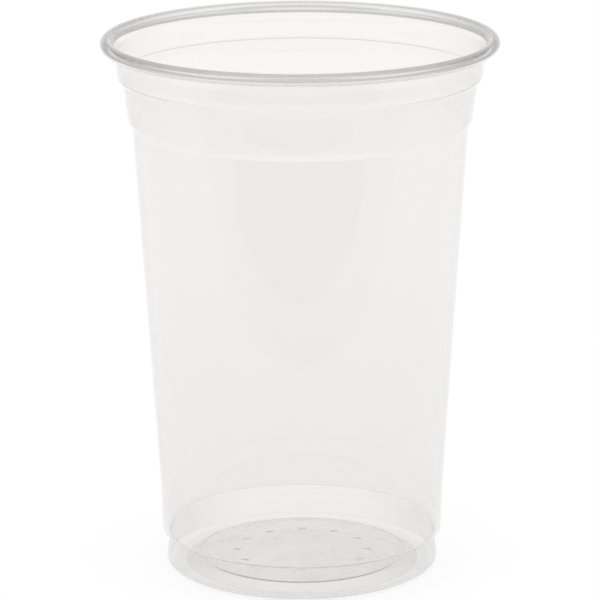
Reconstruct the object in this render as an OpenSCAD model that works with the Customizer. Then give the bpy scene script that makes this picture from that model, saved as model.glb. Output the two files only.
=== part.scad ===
// Clear disposable drinking cup with a rolled rim, drawn out of one plastic sheet.
// Millimetres. The cup stands on z = 0 with its mouth up, and the axis is Z.
// The section follows the sheet's middle line from the floor's centre to the end of the roll.

/* [Whole cup] */
// Height from the table to the top of the rim.
cup_h = 130.6; // [110:0.1:160]
// Diameter across the rolled rim.
rim_d = 95; // [86:0.5:106]

/* [Rolled rim] */
// Diameter of the roll's section.
roll_d = 3; // [2.4:0.1:3.6]
// Angle left open in the roll, between the sheet's end and the collar.
roll_open = 60; // [40:5:140]
// How far the roll stands out past the collar's top.
roll_over = 3.4; // [3.2:0.1:4.6]
// Drop from the roll's centre to the collar's top, where the sheet starts to bend out.
roll_blend = 1.8; // [1.6:0.1:3]

/* [Collar and steps] */
// Height from the top of the rim down to the collar's lower corner.
collar_h = 9; // [7:0.1:14]
// How much the collar narrows towards its lower corner, on each side.
collar_taper = 0.5; // [0:0.05:1]
// How far the upper step goes in, on each side.
upper_in = 1.25; // [0.6:0.05:2]
// Height of the upper step's slope.
upper_h = 1.5; // [1.2:0.1:3]
// Height of the band between the two steps.
band_h = 9.1; // [5:0.1:14]
// How much the band narrows downwards, on each side.
band_taper = 1.2; // [0.3:0.05:2]
// How far the lower step goes in, on each side.
lower_in = 1; // [0.5:0.05:1.6]
// Height of the lower step's slope.
lower_h = 1.6; // [1.2:0.1:3]
// Radius of the collar's lower corner, along the sheet's middle.
collar_round = 0.6; // [0.4:0.1:2]
// Radius of the steps' other corners, along the sheet's middle.
step_round = 2; // [0.6:0.1:2.4]

/* [Wall and heel] */
// Outside diameter where the tapered wall ends and the heel begins.
heel_d = 68.8; // [62:0.1:75]
// Height of the heel's top.
heel_z = 18.8; // [15:0.1:30]
// How much the heel narrows downwards, on each side.
heel_taper = 0.3; // [0:0.05:0.8]
// Height of the ledge under the heel, at its outer corner.
ledge_z = 8.9; // [6.5:0.1:11]
// How far the ledge goes in to the neck, on each side.
ledge_in = 1.75; // [1.5:0.05:2.6]
// Drop of the ledge towards the neck.
ledge_drop = 0.4; // [0:0.05:0.8]
// Radius of the ledge's two corners, along the sheet's middle.
ledge_round = 0.6; // [0.35:0.05:0.65]

/* [Foot and floor] */
// How far the foot spreads past the neck, on each side.
foot_flare = 0.75; // [0.1:0.05:1]
// Width of the bevel under the foot's edge.
bevel_w = 2.2; // [1.4:0.1:3]
// Height of the bevel, from the table to the foot's edge.
bevel_h = 1.2; // [0.8:0.1:1.8]
// Radius of the foot's edge, along the sheet's middle.
foot_round = 0.8; // [0.4:0.1:1.2]
// Width of the flat ring that the cup stands on, between the bevel and the slope.
ring_w = 2.25; // [1.6:0.05:3.6]
// Width of the slope from the ring up to the raised disc in the floor.
slope_w = 3.6; // [2.8:0.1:5]
// Height of the disc's upper face.
disc_z = 2.5; // [1.4:0.1:3.4]
// Radius of the slope's two corners, along the sheet's middle.
slope_round = 1.2; // [0.5:0.1:1.6]

/* [Sheet] */
// Thickness in the roll.
lip_t = 0.45; // [0.3:0.01:0.6]
// Thickness in the collar and the steps.
collar_t = 0.42; // [0.25:0.01:0.6]
// Thickness in the upper wall.
wall_t = 0.36; // [0.2:0.01:0.6]
// Thickness in the heel and the ledge.
heel_t = 0.28; // [0.2:0.01:0.5]
// Thickness in the foot.
foot_t = 0.38; // [0.25:0.01:0.6]
// Thickness in the disc.
disc_t = 0.55; // [0.3:0.01:0.8]

/* [Marks in the floor] */
// Number of raised dots in the ring round the floor's centre.
dot_count = 12; // [4:1:24]
// Diameter of the ring of dots.
dot_ring_d = 32; // [16:0.5:40]
// Diameter of a dot.
dot_d = 1.6; // [0.8:0.1:3]
// How far a dot stands up from the disc.
dot_h = 0.15; // [0.05:0.01:0.4]

/* [Look] */
// Smoothness of the turned shape.
$fn = 144; // [48:12:240]
// Largest angle of one step along a rounded corner.
arc_step = 10; // [6:1:20]

/* [Hidden] */
clear_plastic = [0.90, 0.92, 0.91, 0.40];
roll_mid_r = (roll_d - lip_t) / 2;
roll_r = (rim_d - roll_d) / 2;
roll_z = cup_h - roll_d / 2;
collar_top_r = rim_d / 2 - roll_over;
collar_low_r = collar_top_r - collar_taper;
collar_low_z = cup_h - collar_h;
band_top_r = collar_low_r - upper_in;
band_top_z = collar_low_z - upper_h;
band_low_r = band_top_r - band_taper;
band_low_z = band_top_z - band_h;
wall_top_r = band_low_r - lower_in;
wall_top_z = band_low_z - lower_h;
heel_r = heel_d / 2;
shoulder_r = heel_r - heel_taper;
neck_r = shoulder_r - ledge_in;
foot_r = neck_r + foot_flare;
bevel_low_r = foot_r - bevel_w;
slope_low_r = bevel_low_r - ring_w;
disc_r = slope_low_r - slope_w;
roll_turn = 360 - roll_open;

// A corner is [radius, height, rounding, thickness] on the sheet's middle line.
// Outside radii become middle radii by half of the thickness.
floor_corners = [
    [disc_r, disc_z - disc_t / 2, slope_round, disc_t],
    [slope_low_r, foot_t / 2, slope_round, foot_t],
    [bevel_low_r, foot_t / 2, slope_round, foot_t],
    [foot_r - foot_t / 2, bevel_h, foot_round, foot_t]
];
heel_corners = [
    [neck_r - heel_t / 2, ledge_z - ledge_drop + heel_t / 2, ledge_round, heel_t],
    [shoulder_r - heel_t / 2, ledge_z + heel_t / 2, ledge_round, heel_t],
    [heel_r - heel_t / 2, heel_z, 4 * step_round, heel_t]
];
step_corners = [
    [wall_top_r - wall_t / 2, wall_top_z, step_round, wall_t],
    [band_low_r - collar_t / 2, band_low_z, step_round, collar_t],
    [band_top_r - collar_t / 2, band_top_z, step_round, collar_t],
    [collar_low_r - collar_t / 2, collar_low_z, collar_round, collar_t]
];
rim_corners = [
    [collar_top_r - collar_t / 2, roll_z - roll_blend, roll_mid_r, collar_t],
    [roll_r - roll_mid_r, roll_z - roll_blend / 4, roll_mid_r, lip_t]
];
corners = concat(
    [[0, disc_z - disc_t / 2, 0, disc_t]],
    floor_corners,
    heel_corners,
    step_corners,
    rim_corners,
    [[roll_r - roll_mid_r, roll_z, 0, lip_t]]
);

// A sample of the middle line is [point, heading, thickness].
function heading(a, b) = atan2(b[1] - a[1], b[0] - a[0]);
function left_of(angle) = [-sin(angle), cos(angle)];
function steps_for(angle) = max(2, ceil(abs(angle) / arc_step));

// The middle line round corner c, on the way from corner a to corner b.
function rounded(a, c, b) =
    let (
        start = heading(a, c),
        bend = heading(c, b) - start,
        reach = c[2] * tan(abs(bend) / 2),
        arc_start = [c[0] - reach * cos(start), c[1] - reach * sin(start)],
        toward_centre = c[2] * sign(bend),
        centre = arc_start + toward_centre * left_of(start),
        steps = steps_for(bend)
    )
    [
        for (i = [0 : steps])
            let (angle = start + bend * i / steps)
            [centre - toward_centre * left_of(angle), angle, c[3]]
    ];

// The roll, clockwise from its inner side over the top and under to the sheet's edge.
function roll_samples() =
    let (steps = steps_for(roll_turn))
    [
        for (i = [0 : steps])
            let (angle = 90 - roll_turn * i / steps)
            [[roll_r, roll_z] + roll_mid_r * left_of(angle), angle, lip_t]
    ];

function body_samples() =
    [
        for (i = [1 : len(corners) - 2])
            each rounded(corners[i - 1], corners[i], corners[i + 1])
    ];

// One face of the sheet: side 1 is the cup's inside, and side -1 its outside.
function face_points(samples, side) =
    [for (s = samples) s[0] + side * s[2] / 2 * left_of(s[1])];

function backwards(list) =
    [for (i = [len(list) - 1 : -1 : 0]) list[i]];

module sheet_section() {
    floor_centre = [[[0, disc_z - disc_t / 2], 0, disc_t]];
    samples = concat(floor_centre, body_samples(), roll_samples());
    polygon(concat(face_points(samples, 1), backwards(face_points(samples, -1))));
}

module sheet() {
    rotate_extrude()
        sheet_section();
}

// Plain round dots, raised on the floor's upper face and sunk half-way into the sheet.
module floor_marks() {
    for (i = [0 : dot_count - 1])
        rotate(360 * i / dot_count)
            translate([dot_ring_d / 2, 0, disc_z - disc_t / 2])
                cylinder(d = dot_d, h = disc_t / 2 + dot_h);
}

module cup() {
    color(clear_plastic)
        union() {
            sheet();
            floor_marks();
        }
}

cup();
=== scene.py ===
import math
import bpy
import bmesh
from mathutils import Euler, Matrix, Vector


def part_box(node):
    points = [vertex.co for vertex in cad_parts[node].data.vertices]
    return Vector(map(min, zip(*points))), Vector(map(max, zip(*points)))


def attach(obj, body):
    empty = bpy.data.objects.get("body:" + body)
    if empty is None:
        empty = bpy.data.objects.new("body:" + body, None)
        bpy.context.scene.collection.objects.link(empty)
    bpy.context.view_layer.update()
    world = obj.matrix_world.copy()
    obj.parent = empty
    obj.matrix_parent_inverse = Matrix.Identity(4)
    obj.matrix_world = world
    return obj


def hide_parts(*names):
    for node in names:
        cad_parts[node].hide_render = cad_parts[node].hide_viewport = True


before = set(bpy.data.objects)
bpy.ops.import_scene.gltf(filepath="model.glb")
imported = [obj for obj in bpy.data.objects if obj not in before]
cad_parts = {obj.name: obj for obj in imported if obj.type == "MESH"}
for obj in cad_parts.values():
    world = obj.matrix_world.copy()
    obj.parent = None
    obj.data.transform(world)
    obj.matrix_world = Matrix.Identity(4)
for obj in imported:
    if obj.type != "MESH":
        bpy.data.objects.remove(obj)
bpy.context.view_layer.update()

mm = 0.001
lowCorner, highCorner = (Vector(corner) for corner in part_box("cup"))

# the sheet's middle line, millimetres, the same sizes as in the part's source
cupSheet = {
    "height": (highCorner.z - lowCorner.z) / mm,
    "rimAcross": (highCorner.x - lowCorner.x) / mm,
    "rollAcross": 3.0,
    "rollOpen": 60.0,  # degrees left open in the roll
    "rollOver": 3.4,
    "rollBlend": 1.8,
    "lipBlend": 0.45,
    "collarHeight": 9.0,
    "collarTaper": 0.5,
    "upperIn": 1.25,
    "upperHeight": 1.5,
    "bandHeight": 9.1,
    "bandTaper": 1.2,
    "lowerIn": 1.0,
    "lowerHeight": 1.6,
    "collarRound": 0.6,
    "stepRound": 2.0,
    "heelRound": 8.0,
    "heelAcross": 68.8,
    "heelTop": 18.8,
    "heelTaper": 0.3,
    "ledgeHeight": 8.9,
    "ledgeIn": 1.75,
    "ledgeDrop": 0.4,
    "ledgeRound": 0.6,
    "footFlare": 0.75,
    "bevelWidth": 2.2,
    "bevelHeight": 1.2,
    "footRound": 0.8,
    "ringWidth": 2.25,
    "slopeWidth": 3.6,
    "discTop": 2.5,
    "slopeRound": 1.2,
    "lipThick": 0.45,
    "collarThick": 0.42,
    "wallThick": 0.36,
    "heelThick": 0.28,
    "footThick": 0.38,
    "discThick": 0.55,
    "around": 320,  # segments round the axis
    "arcStep": 9.0,  # degrees per step round a corner
    "wallRings": 6,  # extra rings along a straight stretch, at most
    "ringEvery": 3.0,  # one of them for this length, rounded down
    "onAxis": 0.0001,  # a smaller ring is a single point
}


def leftOf(angle):
    return Vector((-math.sin(angle), math.cos(angle)))


def headingOf(a, b):
    return math.atan2(b[1] - a[1], b[0] - a[0])


def cornersOf(s):
    # each corner is (radius, height, rounding, thickness, stretch of the cup)
    rollMid = (s["rollAcross"] - s["lipThick"]) / 2
    rollR = (s["rimAcross"] - s["rollAcross"]) / 2
    rollZ = s["height"] - s["rollAcross"] / 2
    collarTopR = s["rimAcross"] / 2 - s["rollOver"]
    collarR = collarTopR - s["collarTaper"]
    collarZ = s["height"] - s["collarHeight"]
    bandTopR, bandTopZ = collarR - s["upperIn"], collarZ - s["upperHeight"]
    bandR, bandZ = bandTopR - s["bandTaper"], bandTopZ - s["bandHeight"]
    wallR, wallZ = bandR - s["lowerIn"], bandZ - s["lowerHeight"]
    heelR = s["heelAcross"] / 2
    shoulderR = heelR - s["heelTaper"]
    neckR = shoulderR - s["ledgeIn"]
    footR = neckR + s["footFlare"]
    bevelR = footR - s["bevelWidth"]
    slopeR = bevelR - s["ringWidth"]
    discR = slopeR - s["slopeWidth"]
    lip, collar, wall = s["lipThick"], s["collarThick"], s["wallThick"]
    heel, foot, disc = s["heelThick"], s["footThick"], s["discThick"]
    ledgeZ = s["ledgeHeight"] + heel / 2
    return [
        (0, s["discTop"] - disc / 2, 0, disc, "floor"),
        (discR, s["discTop"] - disc / 2, s["slopeRound"], disc, "discEdge"),
        (slopeR, foot / 2, s["slopeRound"], foot, "ring"),
        (bevelR, foot / 2, s["slopeRound"], foot, "ring"),
        (footR - foot / 2, s["bevelHeight"], s["footRound"], foot, "foot"),
        (neckR - heel / 2, ledgeZ - s["ledgeDrop"], s["ledgeRound"], heel, "neck"),
        (shoulderR - heel / 2, ledgeZ, s["ledgeRound"], heel, "wall"),
        (heelR - heel / 2, s["heelTop"], s["heelRound"], heel, "wall"),
        (wallR - wall / 2, wallZ, s["stepRound"], wall, "step"),
        (bandR - collar / 2, bandZ, s["stepRound"], collar, "band"),
        (bandTopR - collar / 2, bandTopZ, s["stepRound"], collar, "band"),
        (collarR - collar / 2, collarZ, s["collarRound"], collar, "crease"),
        (collarTopR - collar / 2, rollZ - s["rollBlend"], rollMid, collar, "collar"),
        (rollR - rollMid, rollZ - s["lipBlend"], rollMid, lip, "lip"),
        (rollR - rollMid, rollZ, 0, lip, "lip"),
    ]


# what goes on where a corner ends, if that isn't the corner's own stretch
goesOn = {"crease": "collar", "neck": "ledge"}


def roundedCorner(a, corner, b, arcStep):
    radius, height, rounding, thick, stretch = corner
    start = headingOf(a, corner)
    bend = headingOf(corner, b) - start
    reach = rounding * math.tan(abs(bend) / 2)
    towardCentre = math.copysign(rounding, bend)
    centre = Vector((radius - reach * math.cos(start), height - reach * math.sin(start)))
    centre += towardCentre * leftOf(start)
    steps = max(2, math.ceil(abs(bend) / arcStep))
    angles = [start + bend * i / steps for i in range(steps + 1)]
    arc = [(centre - towardCentre * leftOf(a), a, thick, stretch) for a in angles]
    arc[-1] = arc[-1][:3] + (goesOn.get(stretch, stretch),)
    return arc


def straightStretch(a, b, s):
    # points between two samples, so that a long wall has rings of its own
    length = (b[0] - a[0]).length
    count = int(min(s["wallRings"], length // s["ringEvery"]))
    between = []
    for i in range(1, count + 1):
        t = i / (count + 1)
        thick = a[2] * (1 - t) + b[2] * t
        between.append((a[0].lerp(b[0], t), headingOf(a[0], b[0]), thick, a[3]))
    return between


# stretches of the roll, each with the heading in degrees at which the next one takes over
rollStretches = (("lip", 6), ("rim", -104), ("underRim", -178), ("rollEnd", -360))


def middleLine(s):
    corners = cornersOf(s)
    arcStep = math.radians(s["arcStep"])
    line = [(Vector(corners[0][:2]), 0.0, corners[0][3], "floor")]
    for a, corner, b in zip(corners, corners[1:], corners[2:]):
        arc = roundedCorner(a, corner, b, arcStep)
        line += straightStretch(line[-1], arc[0], s) + arc
    # the roll, from its inner side over the top and under to the sheet's edge
    rollMid = (s["rollAcross"] - s["lipThick"]) / 2
    rollCentre = Vector(((s["rimAcross"] - s["rollAcross"]) / 2, s["height"] - s["rollAcross"] / 2))
    turn = math.radians(360 - s["rollOpen"])
    steps = math.ceil(turn / arcStep)
    for i in range(steps + 1):
        angle = math.pi / 2 - turn * i / steps
        stretch = next(name for name, upTo in rollStretches if angle > math.radians(upTo))
        line.append((rollCentre + rollMid * leftOf(angle), angle, s["lipThick"], stretch))
    return line


# stretches whose two faces differ
insideNames = {"step": "band", "collar": "mouth", "neck": "foot"}
outsideNames = {
    "crease": "creaseOuter",
    "foot": "footOuter",
    "neck": "footOuter",
    "lip": "rollHollow",
    "rim": "rollHollow",
    "underRim": "rollHollow",
}


# a face belongs to its sample nearer the floor's centre
def stretchOf(loop, k, insideCount):
    if k < insideCount:
        return insideNames.get(loop[k][1], loop[k][1])
    return outsideNames.get(loop[k + 1][1], loop[k + 1][1])


def buildCup(s, stretches):
    line = middleLine(s)
    inside = [(p + leftOf(a) * thick / 2, stretch) for p, a, thick, stretch in line]
    outside = [(p - leftOf(a) * thick / 2, stretch) for p, a, thick, stretch in line]
    loop = inside + outside[::-1]
    mesh = bmesh.new()
    angles = [2 * math.pi * i / s["around"] for i in range(s["around"])]
    rings = []
    for point, _ in loop:
        r, z = point.x * mm, point.y * mm
        if point.x < s["onAxis"]:
            rings.append([mesh.verts.new((0, 0, z))])
            continue
        rings.append([mesh.verts.new((r * math.cos(t), r * math.sin(t), z)) for t in angles])
    for k in range(len(loop) - 1):
        lower, upper = rings[k], rings[k + 1]
        for i in range(s["around"]):
            j = (i + 1) % s["around"]
            if len(lower) == 1:
                face = mesh.faces.new((lower[0], upper[i], upper[j]))
            elif len(upper) == 1:
                face = mesh.faces.new((lower[i], upper[0], lower[j]))
            else:
                face = mesh.faces.new((lower[i], upper[i], upper[j], lower[j]))
            face.smooth = True
            face.material_index = stretches.index(stretchOf(loop, k, len(inside)))
    bmesh.ops.recalc_face_normals(mesh, faces=mesh.faces)
    lipEdge = len(inside) - 1  # the sheet's cut edge at the end of the roll
    for ring in (rings[lipEdge], rings[lipEdge + 1]):
        for i in range(s["around"]):
            edge = mesh.edges.get((ring[i], ring[(i + 1) % s["around"]]))
            edge.smooth = False
    data = bpy.data.meshes.new("cupSheet")
    mesh.to_mesh(data)
    mesh.free()
    cup = bpy.data.objects.new("cupSheet", data)
    bpy.context.collection.objects.link(cup)
    print("cup built,", len(data.polygons), "faces")
    return cup


def newMaterial(name):
    material = bpy.data.materials.new(name)
    material.use_nodes = True
    material.node_tree.nodes.clear()
    return material, material.node_tree.nodes, material.node_tree.links


# a group's sockets are numbers, but for the position
def newGroup(name, inputs, outputs):
    group = bpy.data.node_groups.new(name, "ShaderNodeTree")
    group.interface.new_socket("Position", in_out="INPUT", socket_type="NodeSocketVector")
    for label in inputs:
        group.interface.new_socket(label, in_out="INPUT", socket_type="NodeSocketFloat")
    for label in outputs:
        group.interface.new_socket(label, in_out="OUTPUT", socket_type="NodeSocketFloat")
    given = group.nodes.new("NodeGroupInput").outputs
    made = group.nodes.new("NodeGroupOutput").inputs
    return group, group.nodes, group.links, given, made


def placeGroup(nodes, links, group, position, values):
    node = nodes.new("ShaderNodeGroup")
    node.node_tree = group
    links.new(position, node.inputs["Position"])
    for label, value in values.items():
        node.inputs[label].default_value = value
    return node


# what another node puts out goes in by a link, anything else as a value
def feed(links, socket, value):
    if isinstance(value, bpy.types.NodeSocket):
        links.new(value, socket)
    else:
        socket.default_value = value


def mathNode(nodes, links, operation, *values):
    node = nodes.new("ShaderNodeMath")
    node.operation = operation
    for socket, value in zip(node.inputs, values):
        feed(links, socket, value)
    return node.outputs[0]


def mapRange(nodes, links, value, fromLow, fromHigh, toLow=0.0, toHigh=1.0):
    node = nodes.new("ShaderNodeMapRange")
    links.new(value, node.inputs["Value"])
    ends = {"From Min": fromLow, "From Max": fromHigh, "To Min": toLow, "To Max": toHigh}
    for label, number in ends.items():
        node.inputs[label].default_value = number
    return node.outputs["Result"]


# the Mix node's colour sockets, by number because others have the same names
mixFirst, mixSecond, mixResult = 6, 7, 2


def mixColours(nodes, links, factor, first, second):
    node = nodes.new("ShaderNodeMix")
    node.data_type = "RGBA"
    links.new(factor, node.inputs["Factor"])
    feed(links, node.inputs[mixFirst], first)
    feed(links, node.inputs[mixSecond], second)
    return node.outputs[mixResult]


def mixShaders(nodes, links, factor, first, second):
    node = nodes.new("ShaderNodeMixShader")
    for socket, value in zip(node.inputs, (factor, first, second)):
        links.new(value, socket)
    return node.outputs["Shader"]


def noiseNode(nodes, links, place, scale, detail=2.0, roughness=0.5):
    node = nodes.new("ShaderNodeTexNoise")
    links.new(place, node.inputs["Vector"])
    feed(links, node.inputs["Scale"], scale)
    node.inputs["Detail"].default_value = detail
    node.inputs["Roughness"].default_value = roughness
    return node.outputs


def axesOf(nodes, links, place):
    node = nodes.new("ShaderNodeSeparateXYZ")
    links.new(place, node.inputs[0])
    return node.outputs


noiseRange = (0.3, 0.7)  # noise seldom leaves it
anyBounce = 0.5  # a depth above this has one bounce or more

flowLook = {
    "waveRoughness": 0.4,
    "streakSquash": (1.0, 1.0, 0.06),  # streaks run up the wall
    "streakDetail": 3.0,
}


# soft waves and drawn streaks that the hot sheet keeps from the mould
def buildSheetFlow(look):
    numbers = ("Wave Scale", "Streak Scale", "Streak Share")
    group, nodes, links, given, made = newGroup("sheetFlow", numbers, ("Height", "Mottle"))
    place = given["Position"]
    waves = noiseNode(nodes, links, place, given["Wave Scale"], roughness=look["waveRoughness"])
    squash = nodes.new("ShaderNodeVectorMath")
    squash.operation = "MULTIPLY"
    squash.inputs[1].default_value = look["streakSquash"]
    links.new(place, squash.inputs[0])
    drawn = squash.outputs[0]
    streaks = noiseNode(nodes, links, drawn, given["Streak Scale"], detail=look["streakDetail"])
    blend = nodes.new("ShaderNodeMix")
    links.new(given["Streak Share"], blend.inputs["Factor"])
    links.new(waves["Fac"], blend.inputs["A"])
    links.new(streaks["Fac"], blend.inputs["B"])
    links.new(blend.outputs["Result"], made["Height"])
    links.new(waves["Fac"], made["Mottle"])
    return group


scuffLook = {
    "bendScale": 60.0,
    "bendPush": (0.012, 0.012, 0.012),
    "hairWidth": 0.02,
    "patchScale": 110.0,
}


# patches of hairline scuffs from stacking and handling
def buildFineScuffs(look):
    group, nodes, links, given, made = newGroup("fineScuffs", ("Scale", "Cover"), ("Mask",))
    place = given["Position"]
    bend = noiseNode(nodes, links, place, look["bendScale"])
    warp = nodes.new("ShaderNodeVectorMath")
    warp.operation = "MULTIPLY_ADD"
    warp.inputs[1].default_value = look["bendPush"]
    links.new(bend["Color"], warp.inputs[0])
    links.new(place, warp.inputs[2])
    cells = nodes.new("ShaderNodeTexVoronoi")
    cells.feature = "DISTANCE_TO_EDGE"
    links.new(warp.outputs[0], cells.inputs["Vector"])
    links.new(given["Scale"], cells.inputs["Scale"])
    hair = mathNode(nodes, links, "LESS_THAN", cells.outputs["Distance"], look["hairWidth"])
    patches = noiseNode(nodes, links, place, look["patchScale"])
    shown = mathNode(nodes, links, "GREATER_THAN", patches["Fac"], given["Cover"])
    links.new(mathNode(nodes, links, "MULTIPLY", hair, shown), made["Mask"])
    return group


sheetFlow = buildSheetFlow(flowLook)
fineScuffs = buildFineScuffs(scuffLook)


# rougher where the waves are high, and in the scuffs of a look that has them
def roughnessOf(nodes, links, place, mottle, look):
    smooth = mapRange(nodes, links, mottle, *noiseRange, look["roughLow"], look["roughHigh"])
    if "scuffs" not in look:
        return smooth
    scuffs = placeGroup(nodes, links, fineScuffs, place, look["scuffs"])
    scuffed = mathNode(nodes, links, "MULTIPLY", scuffs.outputs["Mask"], look["scuffRough"])
    return mathNode(nodes, links, "MAXIMUM", smooth, scuffed)


def throughShader(nodes, tint):
    node = nodes.new("ShaderNodeBsdfTransparent")
    node.inputs["Color"].default_value = tint
    return node.outputs["BSDF"]


# clear sheet: tinted transmission that lamp light passes and that catches no light for good
def finishClear(material, nodes, links, look, colour, roughness, height):
    # painted shade: the sheet is darker where it is looked at along its face
    facing = nodes.new("ShaderNodeLayerWeight").outputs["Facing"]
    edgeOn = mapRange(nodes, links, facing, look["edgeStart"], look["edgeEnd"])
    colour = mixColours(nodes, links, edgeOn, colour, look["edgeTint"])
    if "faceOnShade" in look:  # painted shade: a dark line along the roll's middle, where it faces the eye
        core = mapRange(nodes, links, facing, look["faceOnEnd"], look["faceOnStart"])
        colour = mixColours(nodes, links, core, colour, look["faceOnShade"])
    shader = nodes.new("ShaderNodeBsdfPrincipled")
    shader.inputs["Metallic"].default_value = 0.0
    shader.inputs["Transmission Weight"].default_value = 1.0
    shader.inputs["IOR"].default_value = look["ior"]
    links.new(colour, shader.inputs["Base Color"])
    links.new(roughness, shader.inputs["Roughness"])
    bump = nodes.new("ShaderNodeBump")
    bump.inputs["Distance"].default_value = look["bumpDepth"]
    links.new(height, bump.inputs["Height"])
    links.new(bump.outputs["Normal"], shader.inputs["Normal"])
    # light mirrored or bent again and again inside the sheet gets out of it, dimmed
    path = nodes.new("ShaderNodeLightPath").outputs
    mirrored = mathNode(nodes, links, "GREATER_THAN", path["Glossy Depth"], look["mirrorings"])
    bent = mathNode(nodes, links, "GREATER_THAN", path["Ray Depth"], look["turns"])
    trapped = mathNode(nodes, links, "MAXIMUM", mirrored, bent)
    freed = throughShader(nodes, look["trappedTint"])
    sheet = mixShaders(nodes, links, trapped, shader.outputs["BSDF"], freed)
    lit = throughShader(nodes, look["lampTint"])
    surface = mixShaders(nodes, links, path["Is Shadow Ray"], sheet, lit)
    output = nodes.new("ShaderNodeOutputMaterial")
    links.new(surface, output.inputs["Surface"])
    return material


wallLook = {
    "tint": (0.927, 0.921, 0.905, 1.0),
    "tintThin": (0.927, 0.918, 0.917, 1.0),
    "flow": {"Wave Scale": 22.0, "Streak Scale": 60.0, "Streak Share": 0.3},
    "scuffs": {"Scale": 260.0, "Cover": 0.56},
    "ior": 1.49,
    "roughLow": 0.02,
    "roughHigh": 0.03,
    "scuffRough": 0.05,
    "bumpDepth": 0.000002,
    "lampTint": (0.97, 0.97, 0.965, 1.0),
    "mirrorings": 2.5,  # light mirrored more often is let out
    "turns": 9.5,  # and so is light that met more faces
    "trappedTint": (0.78, 0.78, 0.77, 1.0),
    "edgeTint": (0.86, 0.855, 0.845, 1.0),
    "edgeStart": 0.7,  # 0 faces the eye, 1 lies along the view
    "edgeEnd": 0.95,
    "lowTint": (0.908, 0.901, 0.896, 1.0),
    "lowStart": 80 * mm,
    "lowEnd": 40 * mm,
    "oneSided": False,
}


def sheetMaterial(name, look):
    material, nodes, links = newMaterial(name)
    place = nodes.new("ShaderNodeTexCoord").outputs["Object"]
    flow = placeGroup(nodes, links, sheetFlow, place, look["flow"]).outputs
    colour = mixColours(nodes, links, flow["Mottle"], look["tint"], look["tintThin"])
    # the tint changes towards a stretch's lower end
    z = axesOf(nodes, links, place)["Z"]
    low = mapRange(nodes, links, z, look["lowStart"], look["lowEnd"])
    changed = mixColours(nodes, links, low, colour, look["lowTint"])
    if "highTint" in look:  # and towards its upper end
        high = mapRange(nodes, links, z, look["highStart"], look["highEnd"])
        changed = mixColours(nodes, links, high, changed, look["highTint"])
    if look["oneSided"]:  # the change shows only where light enters the sheet by this face
        behind = nodes.new("ShaderNodeNewGeometry").outputs["Backfacing"]
        changed = mixColours(nodes, links, behind, changed, colour)
    roughness = roughnessOf(nodes, links, place, flow["Mottle"], look)
    return finishClear(material, nodes, links, look, changed, roughness, flow["Height"])


# stretches of the same sheet that differ in tint
allLow = {"lowStart": 200 * mm, "lowEnd": 190 * mm}  # both above the cup: the low tint all over
bandLook = dict(wallLook, edgeStart=0.3, edgeTint=(0.855, 0.848, 0.838, 1.0))
# painted light: the lower step is lighter where light enters it by its outer face
stepLook = dict(bandLook, **allLow, lowTint=(0.975, 0.968, 0.958, 1.0), oneSided=True)
mouthLook = dict(
    bandLook,
    tint=(0.94, 0.932, 0.932, 1.0),
    tintThin=(0.94, 0.929, 0.938, 1.0),
    edgeStart=0.25,
    edgeTint=(0.80, 0.79, 0.785, 1.0),
    lowTint=(0.82, 0.81, 0.805, 1.0),  # painted shade at the fold, which begins softly
    lowStart=122.5 * mm,
    lowEnd=121.7 * mm,
    oneSided=True,
)
# painted light: the collar is lighter towards its crease and its top, where light enters it by its
# outer face
collarLook = dict(
    bandLook,
    tint=(0.927, 0.915, 0.899, 1.0),
    tintThin=(0.927, 0.911, 0.907, 1.0),
    lowTint=(0.985, 0.972, 0.955, 1.0),
    lowStart=123.3 * mm,
    lowEnd=122.6 * mm,
    highTint=(0.98, 0.967, 0.953, 1.0),
    highStart=125.1 * mm,
    highEnd=126.1 * mm,
    oneSided=True,
)
# painted shade: the crease is dark where light enters it by its inner face
creaseLook = dict(bandLook, **allLow, lowTint=(0.55, 0.55, 0.545, 1.0), oneSided=True)
# painted shade: the crease's outer face is dark where it is seen along its face
creaseOuterLook = dict(collarLook, edgeTint=(0.6, 0.59, 0.585, 1.0), edgeEnd=0.7)
footLook = dict(
    wallLook,
    tint=(0.94, 0.935, 0.936, 1.0),
    tintThin=(0.955, 0.949, 0.951, 1.0),
    edgeTint=(0.78, 0.775, 0.775, 1.0),
    edgeStart=0.15,
    edgeEnd=0.5,
    lowTint=(0.96, 0.955, 0.955, 1.0),
)
# painted shade above the foot's lower edge and under its neck
footOuterLook = dict(
    footLook,
    lowTint=(0.74, 0.737, 0.737, 1.0),
    lowStart=3.0 * mm,
    lowEnd=1.9 * mm,
    highTint=(0.83, 0.822, 0.822, 1.0),
    highStart=4.9 * mm,
    highEnd=5.8 * mm,
    oneSided=True,
)
ledgeLook = dict(footLook, edgeTint=(0.93, 0.925, 0.925, 1.0))
ringLook = dict(
    wallLook,
    tint=(0.99, 0.985, 0.98, 1.0),
    tintThin=(1.0, 0.995, 0.99, 1.0),
    lowTint=(1.0, 0.995, 0.99, 1.0),
)


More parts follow.
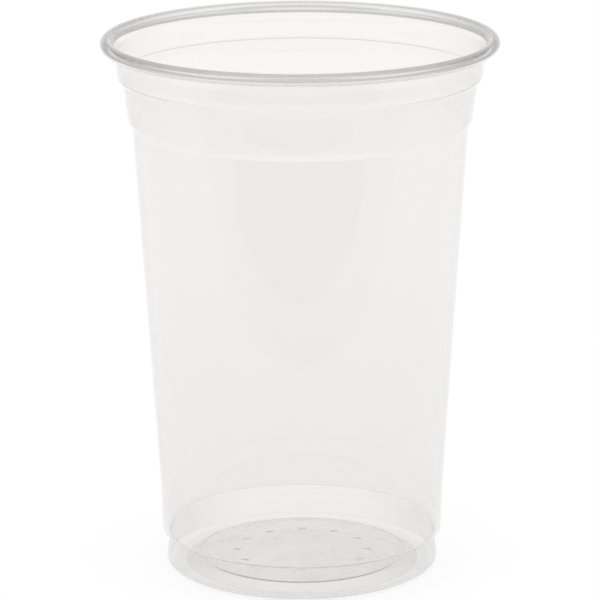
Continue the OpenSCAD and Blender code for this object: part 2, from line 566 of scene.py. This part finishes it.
rimLook = {
    "tint": (0.98, 0.973, 0.96, 1.0),
    "tintThin": (1.0, 0.993, 0.98, 1.0),
    "frontTint": (0.52, 0.513, 0.50, 1.0),  # painted shade, where light enters the roll by its outer side
    # painted shade in bands along the roll: height in the roll, from 0 to 1, and how much of the
    # tint shows
    "shadeBands": ((0.0, 0.1), (0.22, 0.1), (0.36, 0.7), (0.42, 1.0), (0.58, 1.0), (0.64, 0.2),
                (0.71, 0.2), (0.76, 0.75), (0.86, 0.6), (0.93, 0.05), (1.0, 0.0)),
    "flow": {"Wave Scale": 60.0, "Streak Scale": 320.0, "Streak Share": 0.5},
    "ior": 1.45,
    "roughLow": 0.03,
    "roughHigh": 0.05,
    "bumpDepth": 0.000004,
    "lampTint": (0.95, 0.95, 0.945, 1.0),
    "mirrorings": 2.5,
    "turns": 9.5,
    "trappedTint": (0.75, 0.75, 0.74, 1.0),
    "edgeTint": (0.36, 0.355, 0.348, 1.0),
    "edgeStart": 0.1,
    "edgeEnd": 0.8,
    "rollLow": highCorner.z - cupSheet["rollAcross"] * mm,
    "rollHigh": highCorner.z,
    "faceOnShade": (0.62, 0.613, 0.60, 1.0),
    "faceOnStart": 0.012,
    "faceOnEnd": 0.05,
}
lipLook = dict(
    rimLook,
    frontTint=(0.50, 0.49, 0.475, 1.0),
    shadeBands=((0.0, 0.1), (0.2, 0.2), (0.27, 0.6), (0.34, 0.7), (0.42, 0.5), (0.5, 0.9),
             (0.57, 1.0), (0.64, 0.5), (0.72, 0.05), (0.86, 0.0), (1.0, 0.0)),
    edgeTint=(0.6, 0.595, 0.585, 1.0),
    edgeStart=0.3,
    mirrorings=0.5,
    turns=7.5,
    trappedTint=(0.93, 0.93, 0.92, 1.0),
    faceOnShade=(0.99, 0.983, 0.97, 1.0),
)
evenShade = ((0.0, 1.0), (1.0, 1.0))  # the tint all over
underRimLook = dict(
    lipLook,
    frontTint=(0.93, 0.922, 0.91, 1.0),
    shadeBands=evenShade,
    mirrorings=2.5,
    turns=9.5,
    faceOnShade=(0.80, 0.793, 0.78, 1.0),
)
rollHollowLook = dict(
    rimLook,
    frontTint=(0.98, 0.973, 0.96, 1.0),
    shadeBands=evenShade,
    faceOnShade=underRimLook["faceOnShade"],
)
rollEndLook = dict(
    lipLook,
    frontTint=(1.0, 0.993, 0.98, 1.0),
    shadeBands=evenShade,
    edgeTint=(0.9, 0.895, 0.885, 1.0),
    trappedTint=(1.0, 1.0, 0.99, 1.0),
)


def rimMaterial(name, look):
    material, nodes, links = newMaterial(name)
    place = nodes.new("ShaderNodeTexCoord").outputs["Object"]
    flow = placeGroup(nodes, links, sheetFlow, place, look["flow"]).outputs
    colour = mixColours(nodes, links, flow["Mottle"], look["tint"], look["tintThin"])
    z = axesOf(nodes, links, place)["Z"]
    upRoll = mapRange(nodes, links, z, look["rollLow"], look["rollHigh"])
    # painted shade: the front tint in bands by height in the roll, only where light enters by the
    # outer face
    shadeBands = nodes.new("ShaderNodeValToRGB")
    stops = shadeBands.color_ramp.elements
    for position, share in look["shadeBands"][1:-1]:
        stops.new(position)
    for stop, (position, share) in zip(stops, look["shadeBands"]):
        stop.color = (share, share, share, 1.0)
    links.new(upRoll, shadeBands.inputs["Fac"])
    facing = nodes.new("ShaderNodeNewGeometry").outputs["Backfacing"]
    entered = mathNode(nodes, links, "SUBTRACT", 1.0, facing)
    shown = mathNode(nodes, links, "MULTIPLY", shadeBands.outputs["Color"], entered)
    colour = mixColours(nodes, links, shown, colour, look["frontTint"])
    roughness = roughnessOf(nodes, links, place, flow["Mottle"], look)
    return finishClear(material, nodes, links, look, colour, roughness, flow["Height"])


floorLook = {
    "tint": (0.925, 0.925, 0.918, 1.0),
    "tintThin": (0.95, 0.95, 0.944, 1.0),
    "flow": {"Wave Scale": 90.0, "Streak Scale": 400.0, "Streak Share": 0.5},
    "scuffs": {"Scale": 420.0, "Cover": 0.45},
    "ior": 1.49,
    "roughLow": 0.03,
    "roughHigh": 0.10,
    "scuffRough": 0.22,
    "bumpDepth": 0.00015,
    "lampTint": (0.97, 0.97, 0.965, 1.0),
    "mirrorings": 2.5,
    "turns": 9.5,
    "trappedTint": (0.93, 0.93, 0.92, 1.0),
    "edgeTint": (0.88, 0.88, 0.873, 1.0),
    "edgeStart": 0.85,
    "edgeEnd": 1.0,
    "discEdgeShade": (0.90, 0.895, 0.893, 1.0),  # painted shade towards the disc's edge
    "rimStart": 22.3 * mm,
    "rimEnd": 24.6 * mm,
    "markRing": 16 * mm,
    "markCount": 12,
    "markRadius": 1.2 * mm,
    "markCore": 0.4,  # share of the radius that is full height
    "markUneven": 700.0,
    "markPush": 0.35 * mm,
    "markShare": 0.3,  # of the bump's height, for the marks
    "flowShare": 0.2,  # and for the waves and streaks
}
discEdgeLook = dict(
    floorLook,
    mirrorings=0.5,
    trappedTint=(1.0, 1.0, 0.99, 1.0),
    edgeTint=(0.93, 0.93, 0.923, 1.0),
)


def lengthOf(nodes, links, x, y):
    squares = [mathNode(nodes, links, "POWER", part, 2.0) for part in (x, y)]
    return mathNode(nodes, links, "SQRT", mathNode(nodes, links, "ADD", *squares))


def dotRing(nodes, links, place, x, y, radius, look):
    # one dot, folded round the axis by turning the angle back into one share
    angle = mathNode(nodes, links, "ARCTAN2", y, x)
    share = 2 * math.pi / look["markCount"]
    folded = mathNode(nodes, links, "WRAP", angle, share / 2, -share / 2)
    side = mathNode(nodes, links, "MULTIPLY", radius, folded)
    outward = mathNode(nodes, links, "SUBTRACT", radius, look["markRing"])
    far = lengthOf(nodes, links, side, outward)
    # no two marks come out of the mould alike
    uneven = noiseNode(nodes, links, place, look["markUneven"])["Fac"]
    pushed = mapRange(nodes, links, uneven, *noiseRange, -look["markPush"], look["markPush"])
    far = mathNode(nodes, links, "ADD", far, pushed)
    return mapRange(nodes, links, far, look["markRadius"], look["markRadius"] * look["markCore"])


def floorMaterial(name, look):
    material, nodes, links = newMaterial(name)
    place = nodes.new("ShaderNodeTexCoord").outputs["Object"]
    flow = placeGroup(nodes, links, sheetFlow, place, look["flow"]).outputs
    x, y, _ = axesOf(nodes, links, place)
    radius = lengthOf(nodes, links, x, y)
    colour = mixColours(nodes, links, flow["Mottle"], look["tint"], look["tintThin"])
    # painted shade: darker towards the disc's edge
    outer = mapRange(nodes, links, radius, look["rimStart"], look["rimEnd"])
    colour = mixColours(nodes, links, outer, colour, look["discEdgeShade"])
    roughness = roughnessOf(nodes, links, place, flow["Mottle"], look)
    marks = dotRing(nodes, links, place, x, y, radius, look)
    raised = mathNode(nodes, links, "MULTIPLY", marks, look["markShare"])
    height = mathNode(nodes, links, "MULTIPLY_ADD", flow["Height"], look["flowShare"], raised)
    return finishClear(material, nodes, links, look, colour, roughness, height)


cupMaterials = {
    "wall": sheetMaterial("clearWall", wallLook),
    "step": sheetMaterial("lowerStep", stepLook),
    "band": sheetMaterial("clearBand", bandLook),
    "mouth": sheetMaterial("mouthInside", mouthLook),
    "collar": sheetMaterial("clearCollar", collarLook),
    "crease": sheetMaterial("collarCrease", creaseLook),
    "creaseOuter": sheetMaterial("collarCreaseOutside", creaseOuterLook),
    "rollHollow": rimMaterial("rollHollow", rollHollowLook),
    "rollEnd": rimMaterial("rollEnd", rollEndLook),
    "lip": rimMaterial("innerLip", lipLook),
    "rim": rimMaterial("rolledRim", rimLook),
    "underRim": rimMaterial("rimUnderside", underRimLook),
    "foot": sheetMaterial("footWall", footLook),
    "footOuter": sheetMaterial("footWallOutside", footOuterLook),
    "ledge": sheetMaterial("heelLedge", ledgeLook),
    "ring": sheetMaterial("footRing", ringLook),
    "discEdge": floorMaterial("discEdge", discEdgeLook),
    "floor": floorMaterial("floorDisc", floorLook),
}
cup = buildCup(cupSheet, list(cupMaterials))
for material in cupMaterials.values():
    cup.data.materials.append(material)
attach(cup, "root")
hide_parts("cup")
print("materials made")

stageLook = {
    "floorSize": 8.0,
    "floorGap": 0.00015,  # metres under the foot, which would else share the floor's face
    "floorColour": 0.28,
    "floorGlow": 0.745,
    "worldDiffuse": 0.55,
    "ceiling": 0.75,  # what reflections see overhead
    "ceilingStart": 0.12,  # as the height of a direction, from 0 level to 1 straight up
    "ceilingEnd": 0.45,
    "frontRoom": 0.7,  # what reflections see in front of the table's edge
    "farStart": -0.7,  # where the room is as bright again as the table
    "farEnd": -1.3,
    "tableEdge": -0.222,  # metres in front of the cup
    "edgeSlant": 0.03,  # the edge runs slightly askew to the picture
    "edgeBlur": 0.002,
}


# 1 for a ray of any of these kinds
def anyOf(nodes, links, path, labels):
    total = path[labels[0]]
    for label in labels[1:]:
        total = mathNode(nodes, links, "MAXIMUM", total, path[label])
    return total


def buildFloor(look):
    bpy.ops.mesh.primitive_plane_add(size=look["floorSize"], location=(0, 0, -look["floorGap"]))
    floor = bpy.context.object
    floor.name = "studioFloor"
    material, nodes, links = newMaterial("studioPaper")
    path = nodes.new("ShaderNodeLightPath").outputs
    seen = anyOf(nodes, links, path, ("Is Camera Ray", "Is Glossy Ray", "Is Transmission Ray"))
    # a path mirrored on its way sees a darker room past the table's front edge
    position = nodes.new("ShaderNodeNewGeometry").outputs["Position"]
    x, y, _ = axesOf(nodes, links, position)
    edge, blur = look["tableEdge"], look["edgeBlur"]
    slanted = mathNode(nodes, links, "MULTIPLY_ADD", x, look["edgeSlant"], y)
    near = mapRange(nodes, links, slanted, edge + blur, edge - blur)
    far = mapRange(nodes, links, y, look["farStart"], look["farEnd"])
    past = mathNode(nodes, links, "SUBTRACT", near, far)
    mirrored = mathNode(nodes, links, "GREATER_THAN", path["Glossy Depth"], anyBounce)
    missed = mathNode(nodes, links, "MULTIPLY", past, mirrored)
    level = mathNode(nodes, links, "MULTIPLY_ADD", missed, look["frontRoom"] - 1, 1.0)
    tone = nodes.new("ShaderNodeCombineColor")
    shade = mathNode(nodes, links, "MULTIPLY", level, look["floorColour"])
    for channel in ("Red", "Green", "Blue"):
        links.new(shade, tone.inputs[channel])
    paper = nodes.new("ShaderNodeBsdfDiffuse")
    links.new(tone.outputs[0], paper.inputs["Color"])
    glow = nodes.new("ShaderNodeEmission")
    lit = mathNode(nodes, links, "MULTIPLY", seen, look["floorGlow"])
    links.new(mathNode(nodes, links, "MULTIPLY", lit, level), glow.inputs["Strength"])
    both = nodes.new("ShaderNodeAddShader")
    links.new(paper.outputs[0], both.inputs[0])
    links.new(glow.outputs[0], both.inputs[1])
    output = nodes.new("ShaderNodeOutputMaterial")
    links.new(both.outputs[0], output.inputs["Surface"])
    floor.data.materials.append(material)


def buildWorld(look):
    world = bpy.data.worlds.new("studioAir")
    bpy.context.scene.world = world
    world.use_nodes = True
    nodes, links = world.node_tree.nodes, world.node_tree.links
    nodes.clear()
    path = nodes.new("ShaderNodeLightPath").outputs
    direction = nodes.new("ShaderNodeTexCoord").outputs["Generated"]
    up = axesOf(nodes, links, direction)["Z"]
    start, end = look["ceilingStart"], look["ceilingEnd"]
    ceiling = mapRange(nodes, links, up, start, end, 1.0, look["ceiling"])
    bounced = anyOf(nodes, links, path, ("Is Glossy Ray", "Is Transmission Ray"))
    inSheet = mathNode(nodes, links, "MULTIPLY", bounced, ceiling)
    straight = mathNode(nodes, links, "MAXIMUM", path["Is Camera Ray"], inSheet)
    # the light that reaches the floor has a level of its own
    fromFloor = mathNode(nodes, links, "GREATER_THAN", path["Diffuse Depth"], anyBounce)
    clear = mathNode(nodes, links, "SUBTRACT", 1.0, fromFloor)
    seenAir = mathNode(nodes, links, "MULTIPLY", clear, straight)
    floorAir = mathNode(nodes, links, "MULTIPLY", fromFloor, look["worldDiffuse"])
    air = mathNode(nodes, links, "ADD", seenAir, floorAir)
    sky = nodes.new("ShaderNodeBackground")
    sky.inputs["Color"].default_value = (1.0, 1.0, 1.0, 1.0)
    links.new(air, sky.inputs["Strength"])
    output = nodes.new("ShaderNodeOutputWorld")
    links.new(sky.outputs[0], output.inputs["Surface"])


# soft boxes: place, width, height and power
lampLook = {
    "keyBox": ((-0.75, -0.55, 0.95), 0.6, 0.6, 5.0),
    "fillBox": ((0.85, -0.35, 0.75), 0.6, 0.8, 3.0),
    "backBox": ((0.0, 0.95, 1.05), 1.0, 0.5, 4.0),
}
lampAim = (0, 0, 0.06)  # metres, a little below the middle of the cup


def buildLamps(look, aim):
    for name, (place, width, height, power) in look.items():
        lamp = bpy.data.lights.new(name, "AREA")
        lamp.shape = "RECTANGLE"
        lamp.size, lamp.size_y, lamp.energy = width, height, power
        box = bpy.data.objects.new(name, lamp)
        box.location = place
        box.visible_glossy = False  # the room and the table are what shows in the sheet
        box.visible_transmission = False
        box.rotation_euler = (Vector(aim) - Vector(place)).to_track_quat("-Z", "Y").to_euler()
        bpy.context.collection.objects.link(box)


cameraView = {
    "distance": 0.8932,  # metres from the cup's axis, level
    "height": 0.3026,
    "pitch": 14.855,  # degrees down
    "pan": 0.0165,
    "roll": -0.23,
    "focalPixels": 3824.3,
    "imageWidth": 600,
    "sensor": 36.0,
    "clipStart": 0.05,
    "clipEnd": 50.0,
}


def buildCamera(v):
    data = bpy.data.cameras.new("photoView")
    data.sensor_fit = "HORIZONTAL"
    data.sensor_width = v["sensor"]
    data.lens = v["focalPixels"] / v["imageWidth"] * v["sensor"]
    data.clip_start, data.clip_end = v["clipStart"], v["clipEnd"]
    camera = bpy.data.objects.new("photoView", data)
    camera.location = (0, -v["distance"], v["height"])
    pan = Euler((0, 0, math.radians(v["pan"]))).to_matrix()
    down = Euler((math.radians(90 - v["pitch"]), 0, 0)).to_matrix()
    roll = Euler((0, 0, math.radians(v["roll"]))).to_matrix()
    camera.rotation_euler = (pan @ down @ roll).to_euler()
    bpy.context.collection.objects.link(camera)
    bpy.context.scene.camera = camera


buildFloor(stageLook)
buildWorld(stageLook)
buildLamps(lampLook, lampAim)
buildCamera(cameraView)
bpy.context.scene.view_settings.view_transform = "Standard"
print("stage, lamps and camera set")
